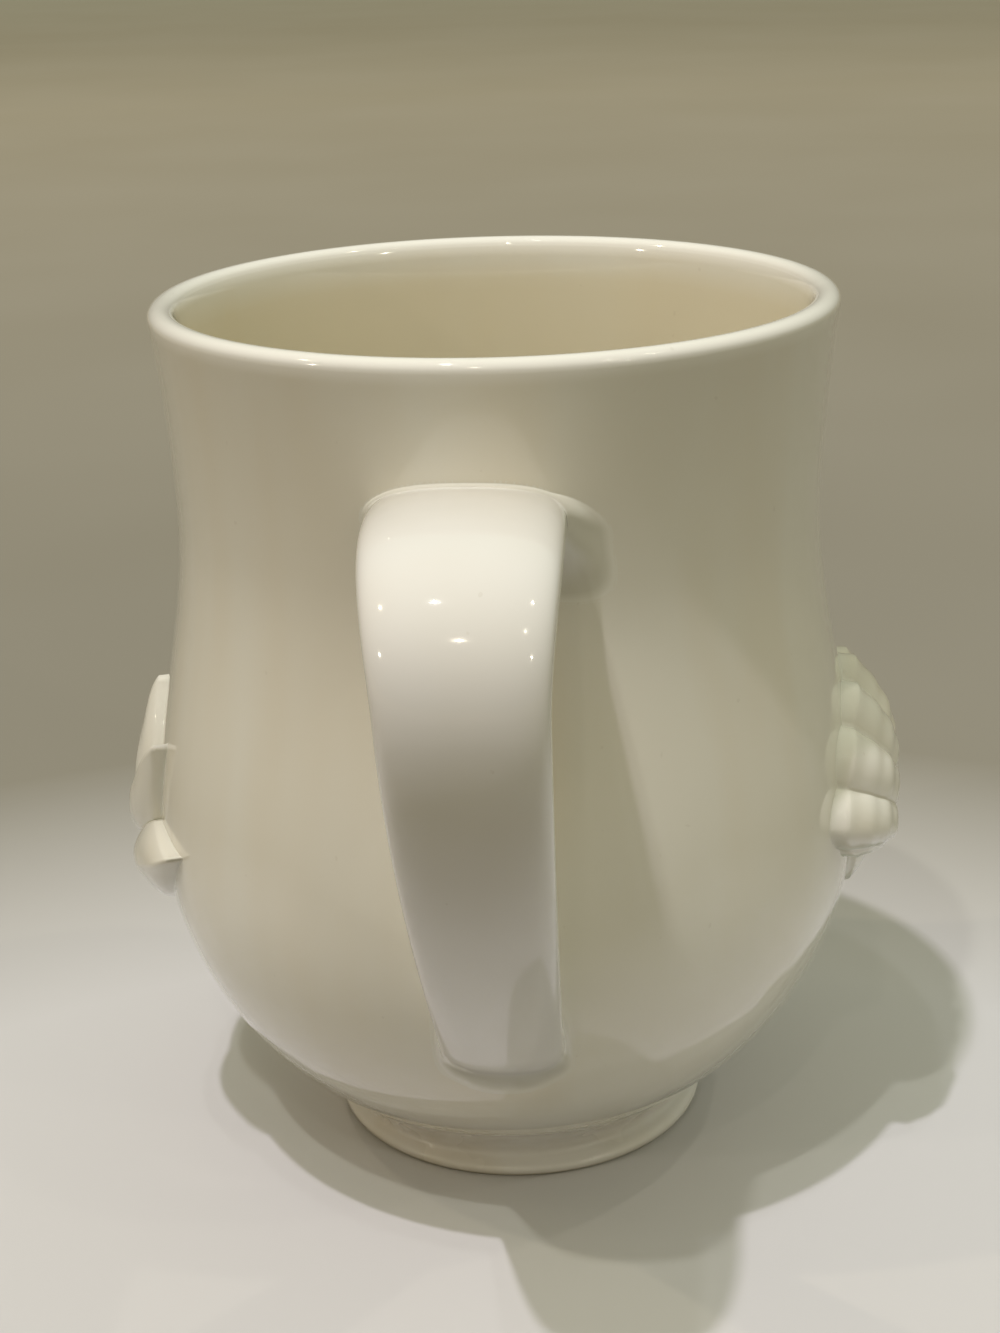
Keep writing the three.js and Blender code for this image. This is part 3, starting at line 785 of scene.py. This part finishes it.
# Painted light: the foot's colours are a whiter, bluer copy of the glaze, which paints the light on the foot.
PAINTED_LIGHT_FOOT_WHITE, PAINTED_LIGHT_FOOT_WARM = (0.9, 0.9, 0.9), (0.89, 0.88, 0.87)
# Painted light and shade: the handle's first two colours are a whiter copy of the glaze that paints the light
# on the strap, and the third paints the shade in its roots.
PAINTED_LIGHT_HANDLE_WHITE, PAINTED_LIGHT_HANDLE_WARM, PAINTED_ROOT_SHADE = (0.89, 0.885, 0.88), (0.87, 0.86, 0.84), (0.6, 0.59, 0.49)
RELIEF_WHITE = (0.88, 0.87, 0.80)
BARE_PASTE = (0.74, 0.70, 0.60)

glazes = {
    cup: ("glazed_body", glaze("cup_glaze", CREAM, WARM, PAINTED_INNER_LIGHT)),
    foot: ("foot_porcelain", glaze("foot_glaze", PAINTED_LIGHT_FOOT_WHITE, PAINTED_LIGHT_FOOT_WARM, DEEP_GREY, wiped=BARE_PASTE,
                                   roughness=(0.2, 0.3), ripple=0.03, gloss=0.06)),
    handle: ("glazed_handle", glaze("handle_glaze", PAINTED_LIGHT_HANDLE_WHITE, PAINTED_LIGHT_HANDLE_WARM, PAINTED_ROOT_SHADE,
                                    at_cup=CREAM, painted_streak_share=0.1)),
    spray: ("glazed_relief", glaze("leaf_glaze", RELIEF_WHITE, CREAM, DEEP_GREY)),
    shell: ("glazed_relief", glaze("shell_glaze", RELIEF_WHITE, CREAM, DEEP_GREY)),
}
for piece, (slot, material) in glazes.items():
    piece.data.materials.append(material)
print(len(glazes), "glazed pieces")

# %% [markdown]
# Glossy ware shows its surroundings, so the studio is part of the finish. The floor is pale, and
# its colour paints light on it: a pool of light round the mug that darkens away from it, and a
# painted shadow in front. Distances on it are in metres, because a material reads its place in
# metres, and azimuths are in degrees from the handle.

# %% The floor's colour
NEAR_FLOOR, FAR_FLOOR = (0.65, 0.65, 0.67), (0.255, 0.24, 0.2)
BACKDROP, SKYLINE = (0.42, 0.375, 0.29), (0.80, 0.76, 0.66)
MOTTLE = (0.75, 0.74, 0.72)
LIGHT_POOL_MIDDLE = (0.08, 0, 0)
LIGHT_POOL_EDGE, FRONT_EDGE = (0.13, 0.22), (0.05, 0.11)
BACKDROP_RANGE, SKYLINE_RANGE = (0.3, 1.6), (2.5, 7)


def distance_to(tree, place, point):
    node = add_node(tree, "ShaderNodeVectorMath", operation="DISTANCE")
    link(tree, place, node.inputs[0])
    node.inputs[1].default_value = point
    return node.outputs["Value"]


def floor_colour(tree, place):
    """From the painted pool of light to the darker floor with the distance from its middle, and to
    the darker colour with x in front, a painted shadow.
    """
    distance = distance_to(tree, place, LIGHT_POOL_MIDDLE)
    # Painted light: the floor is lighter near the mug, a painted pool of light, and darker in front, a
    # painted shadow.
    ahead = mapped(tree, apart(tree, place)["X"], *FRONT_EDGE, 0, 1)
    away = combined(tree, "MAXIMUM", mapped(tree, distance, *LIGHT_POOL_EDGE, 0, 1), ahead)
    colour = mixed(tree, away, NEAR_FLOOR, FAR_FLOOR)
    colour = mixed(tree, mapped(tree, distance, *BACKDROP_RANGE, 0, 1), colour, BACKDROP)
    colour = mixed(tree, mapped(tree, distance, *SKYLINE_RANGE, 0, 1), colour, SKYLINE)
    mottled = mapped(tree, noise(tree, place, 5, 2), 0.3, 0.7, 0, 0.05)
    return mixed(tree, mottled, colour, MOTTLE)

# %% [markdown]
# Light that bounces off the floor fills the shade under the belly and the strap. For that light
# alone, shade is painted into the floor: it gives back less light in some places than in others,
# one number for each place, and so the belly and the strap come out darker.

# %% Where the floor holds its light back
AXIS = (AXIS_X * MM, 0, 0)
LEFT_LINE, LEFT_LINE_RANGE = (0.837, 0.547), (-0.064, -0.05)
LEFT_REACH, LEFT_SHADE_MIDDLE = (0.2, 0.26), (-0.03, -0.06, 0)
LIGHT_POOL_FADE = (0.12, 0.22)
RIGHT_SHARE = 0.2
FRONT_RANGE = (0.055, 0.125)
FOOT_SHADE, LEFT_SHADE = 0.42, 0.5


def turned_past(tree, azimuth, low, high, to_low, to_high):
    """mapped, with the azimuth's range low to high in degrees."""
    return mapped(tree, azimuth, math.radians(low), math.radians(high), to_low, to_high)


def sector(tree, azimuth, middle, half, soft):
    """1 within half degrees of the middle azimuth, falling to 0 over soft degrees more."""
    off = combined(tree, "SUBTRACT", azimuth, math.radians(middle))
    size = add_node(tree, "ShaderNodeMath", operation="ABSOLUTE")
    link(tree, off, size.inputs[0])
    return turned_past(tree, size.outputs["Value"], half, half + soft, 1, 0)


def painted_bounce_shade(tree, place):
    """Painted shade: the share of its light that the floor holds back, the greatest of four.

    Past the edge of the pool of light all is held back but in three pale sectors: one on the left
    that ends at a straight line, one on the right and one behind. The others are a soft painted
    shadow in front, a round painted shadow at the foot and one to its left."""
    x, y, _ = apart(tree, place)
    azimuth = combined(tree, "ARCTAN2", y, combined(tree, "SUBTRACT", x, AXIS[0]))
    from_axis = distance_to(tree, place, AXIS)
    across = combined(tree, "ADD", combined(tree, "MULTIPLY", x, LEFT_LINE[0]),
                      combined(tree, "MULTIPLY", y, LEFT_LINE[1]))
    reach = combined(tree, "MAXIMUM", mapped(tree, from_axis, *LEFT_REACH, 1, 0),
                     turned_past(tree, azimuth, -56, -47, 0, 1))
    left = combined(tree, "MULTIPLY", mapped(tree, across, *LEFT_LINE_RANGE, 0, 1),
                    turned_past(tree, azimuth, -31, -22, 1, 0), reach)
    right = combined(tree, "MULTIPLY", sector(tree, azimuth, 27, 8, 8), RIGHT_SHARE)
    behind = combined(tree, "SUBTRACT", 1, sector(tree, azimuth, 0, 98, 18))
    pale = combined(tree, "MAXIMUM", left, right, behind)
    past_edge = mapped(tree, distance_to(tree, place, LIGHT_POOL_MIDDLE), *LIGHT_POOL_FADE, 0, 1)
    gap = combined(tree, "MULTIPLY", past_edge, combined(tree, "SUBTRACT", 1, pale))
    front = combined(tree, "MULTIPLY", sector(tree, azimuth, -8, 24, 16), mapped(tree, x, *FRONT_RANGE, 0, 1))
    foot_shade = mapped(tree, from_axis, 0.05, 0.09, FOOT_SHADE, 0)
    left_shade = mapped(tree, distance_to(tree, place, LEFT_SHADE_MIDDLE), 0.07, 0.088, LEFT_SHADE, 0)
    return combined(tree, "MAXIMUM", gap, front, foot_shade, left_shade)

# %% [markdown]
# The floor is one square at the height of the foot. What is seen of it, directly or in the
# glaze, is its colour alone. Only the light that bounces off it carries the painted shade, which
# Light Path tells apart: a ray that is neither camera, glossy nor transmission is bounced light.

# %% The floor
FLOOR_HALF = 8.0
UNLIT = (0.03, 0.03, 0.02)
FLOOR_ROUGHNESS = 0.9


def seen_rays(tree):
    """1 for a ray that shows a surface, directly, mirrored or through glass, and else 0."""
    rays = add_node(tree, "ShaderNodeLightPath").outputs
    return combined(tree, "ADD", rays["Is Camera Ray"], rays["Is Glossy Ray"], rays["Is Transmission Ray"])


mesh = bpy.data.meshes.new("studio_floor")
mesh.from_pydata([(-FLOOR_HALF, -FLOOR_HALF, 0), (FLOOR_HALF, -FLOOR_HALF, 0),
                  (FLOOR_HALF, FLOOR_HALF, 0), (-FLOOR_HALF, FLOOR_HALF, 0)], [], [(0, 1, 2, 3)])
floor = bpy.data.objects.new("studio_floor", mesh)
scene.collection.objects.link(floor)
material = bpy.data.materials.new("floor_paint")
material.use_nodes = True
tree = material.node_tree
place = add_node(tree, "ShaderNodeTexCoord").outputs["Object"]
bounced = combined(tree, "SUBTRACT", 1, seen_rays(tree))
# Painted shade: the bounced light alone sees the floor darker in places.
bounce_shade = combined(tree, "MULTIPLY", painted_bounce_shade(tree, place), bounced)
shader = tree.nodes["Principled BSDF"]
link(tree, mixed(tree, bounce_shade, floor_colour(tree, place), UNLIT), shader.inputs["Base Color"])
shader.inputs["Roughness"].default_value = FLOOR_ROUGHNESS
mesh.materials.append(material)
floor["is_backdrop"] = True
print("floor", 2 * FLOOR_HALF, "m wide,", len(tree.nodes), "nodes in its material")

# %% [markdown]
# The world is the room: a pale ceiling that gives half of the light, over dim warm walls. A
# world has no place, only directions. The dot product of a direction with the brightest one is
# the cosine of the angle between them, 1 there and 0 at right angles to it. Where the walls are
# seen or mirrored they take the tone of the far floor, so that no dark band shows above it.

# %% The room
WALLS = (0.18, 0.12, 0.045)
CEILING = (0.475, 0.505, 0.39)
HORIZON = (0.27, 0.25, 0.185)
BRIGHTEST = (-0.15, 0.25, 0.957)
WALL_COSINE, CEILING_COSINE = 0.2, 0.8

world = bpy.data.worlds.new("studio")
scene.world = world
world.use_nodes = True
tree = world.node_tree
direction = add_node(tree, "ShaderNodeVectorMath", operation="DOT_PRODUCT")
link(tree, add_node(tree, "ShaderNodeTexCoord").outputs["Generated"], direction.inputs[0])
direction.inputs[1].default_value = BRIGHTEST
upward = mapped(tree, direction.outputs["Value"], WALL_COSINE, CEILING_COSINE, 0, 1)
walls = mixed(tree, seen_rays(tree), WALLS, HORIZON)
background = tree.nodes["Background"]
link(tree, mixed(tree, upward, walls, CEILING), background.inputs["Color"])
background.inputs["Strength"].default_value = 1.0
print("ceiling light", CEILING, "over walls", WALLS)

# %% [markdown]
# Two lamps high up cast the shadows, and a wide weak one fills them from the left. The glaze
# doesn't mirror these three. Seven small lamps add little light, but each shows in the glaze as
# one bright point, which is what makes it look wet. A disk of power P at distance d lights what
# faces it with P / (pi d^2). A floor that gets pi shows its colours as written, so each power is
# worked out from its share of pi.

# %% Lamps
LAMP_DISTANCE = 3.0
WHITE, WARM_WHITE, AMBER = (1.0, 0.99, 0.965), (1.0, 0.90, 0.72), (1.0, 0.85, 0.6)


def ceiling_lamp(name, azimuth, elevation, share, width, colour, mirrored=True):
    """A disk along a direction from the cup. share is the part of pi that it gives a level floor.

    mirrored says whether the glaze shows it."""
    a, e = math.radians(azimuth), math.radians(elevation)
    toward = Vector((math.cos(e) * math.cos(a), math.cos(e) * math.sin(a), math.sin(e)))
    disk = bpy.data.lights.new(name, "AREA")
    disk.shape = "DISK"
    disk.size = width
    disk.energy = share * (math.pi * LAMP_DISTANCE) ** 2 / math.sin(e)
    disk.color = colour
    light = bpy.data.objects.new(name, disk)
    light.location = Vector((0, 0, HEIGHT / 2 * MM)) + toward * LAMP_DISTANCE
    light.rotation_euler = (-toward).to_track_quat("-Z", "Y").to_euler()
    light.visible_glossy = mirrored
    scene.collection.objects.link(light)
    print(name, "power", round(disk.energy), "W")


ceiling_lamp("overhead_lamp", -46, 74, 0.36, 0.08, (1.0, 0.93, 1.0), mirrored=False)
ceiling_lamp("second_lamp", -30, 64, 0.12, 0.08, (1.0, 0.99, 0.87), mirrored=False)
ceiling_lamp("side_light", -105, 25, 0.02, 0.8, (1.0, 0.8, 0.45), mirrored=False)
ceiling_lamp("overhead_bulb", -52, 79, 0.04, 0.06, WHITE)
ceiling_lamp("front_lamp", -5, 51, 0.02, 0.05, WARM_WHITE)
ceiling_lamp("front_right_lamp", 50, 50, 0.02, 0.05, WARM_WHITE)
ceiling_lamp("right_lamp", 90, 60, 0.04, 0.05, WARM_WHITE)
ceiling_lamp("left_lamp", -87, 52, 0.05, 0.05, AMBER)
ceiling_lamp("low_right_lamp", 48, 29, 0.015, 0.05, WARM_WHITE)
ceiling_lamp("far_left_lamp", -59, 25, 0.02, 0.05, WARM_WHITE)

scene.view_settings.view_transform = "Standard"

# %% [markdown]
# Last, the dressed mug's box is set beside the imported one, and how far each side has grown is
# printed.

# %% Compare sizes and finish
new_low, new_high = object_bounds()
growth = [(new - old) / MM for old, new in zip((*cad_low, *cad_high), (*new_low, *new_high))]
print("grown by", [round(g, 2) for g in growth], "mm")
